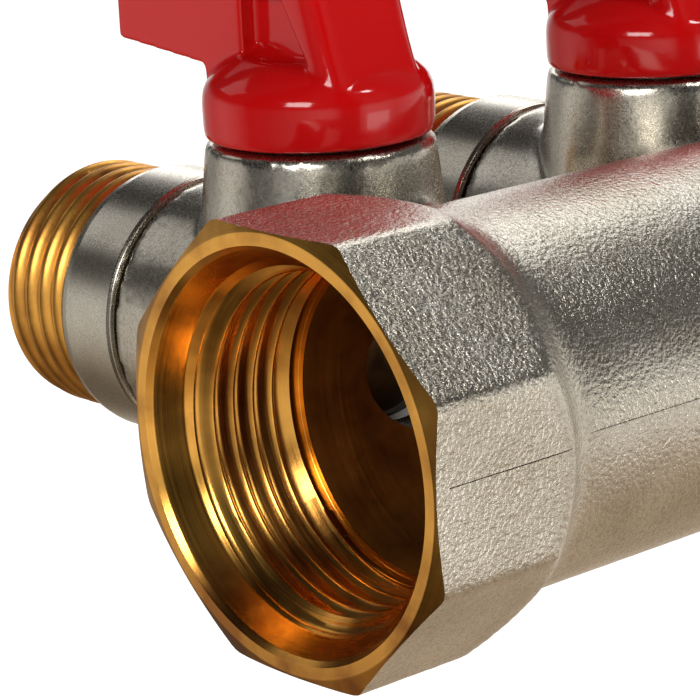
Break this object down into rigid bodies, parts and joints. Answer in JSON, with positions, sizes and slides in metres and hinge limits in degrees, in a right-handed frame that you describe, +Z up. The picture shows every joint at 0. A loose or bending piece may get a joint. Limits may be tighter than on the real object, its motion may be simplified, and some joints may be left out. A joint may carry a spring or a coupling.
{
  "type": "pipe manifold with ball valves",
  "caption": "Bar-shaped distribution manifold with an octagonal threaded inlet, side outlets and red-handled quarter-turn ball valves.",
  "frame": {"origin": "centre of the inlet face, on the axis of the main bore", "axes": "+X along the bar away from the inlet, +Y towards the outlets, +Z up through the valve stems"},
  "size_m": [0.1234, 0.0669, 0.0463],
  "materials": {
    "nickel_plated_brass": "grainy nickel plate on a forging, bare turned brass inside the inlet",
    "turned_brass": "turned",
    "chrome_ball": "chrome-plated and polished",
    "zinc_steel": "zinc plated",
    "red_plastic": "glossy",
    "ptfe": "satin white",
    "black_rubber": "matt"
  },
  "bodies": {
    "manifold": {"manifold_body": "nickel_plated_brass", "end_o_ring": "black_rubber", "valve_1_seat_inner": "ptfe", "valve_1_seat_outer": "ptfe", "valve_1_tailpiece": "turned_brass", "valve_1_tail_o_ring": "black_rubber", "valve_2_seat_inner": "ptfe", "valve_2_seat_outer": "ptfe", "valve_2_tailpiece": "turned_brass", "valve_2_tail_o_ring": "black_rubber", "valve_3_seat_inner": "ptfe", "valve_3_seat_outer": "ptfe", "valve_3_tailpiece": "turned_brass", "valve_3_tail_o_ring": "black_rubber"},
    "valve_1_rotor": {"valve_1_handle": "red_plastic", "valve_1_screw": "zinc_steel", "valve_1_cap": "red_plastic", "valve_1_stem": "turned_brass", "valve_1_ball": "chrome_ball", "valve_1_o_ring_lower": "black_rubber", "valve_1_o_ring_upper": "black_rubber", "valve_1_thrust_washer": "ptfe"},
    "valve_2_rotor": {"valve_2_handle": "red_plastic", "valve_2_screw": "zinc_steel", "valve_2_cap": "red_plastic", "valve_2_stem": "turned_brass", "valve_2_ball": "chrome_ball", "valve_2_o_ring_lower": "black_rubber", "valve_2_o_ring_upper": "black_rubber", "valve_2_thrust_washer": "ptfe"},
    "valve_3_rotor": {"valve_3_handle": "red_plastic", "valve_3_screw": "zinc_steel", "valve_3_cap": "red_plastic", "valve_3_stem": "turned_brass", "valve_3_ball": "chrome_ball", "valve_3_o_ring_lower": "black_rubber", "valve_3_o_ring_upper": "black_rubber", "valve_3_thrust_washer": "ptfe"}
  },
  "joints": [
    {"name": "valve_1_turn", "type": "hinge", "parent": "manifold", "child": "valve_1_rotor", "pos_m": [0.0235, 0.0217, 0], "axis": [0, 0, 1], "range_deg": [-90, 0]},
    {"name": "valve_2_turn", "type": "hinge", "parent": "manifold", "child": "valve_2_rotor", "pos_m": [0.0603, 0.0217, 0], "axis": [0, 0, 1], "range_deg": [-90, 0]},
    {"name": "valve_3_turn", "type": "hinge", "parent": "manifold", "child": "valve_3_rotor", "pos_m": [0.0971, 0.0217, 0], "axis": [0, 0, 1], "range_deg": [-90, 0]}
  ]
}
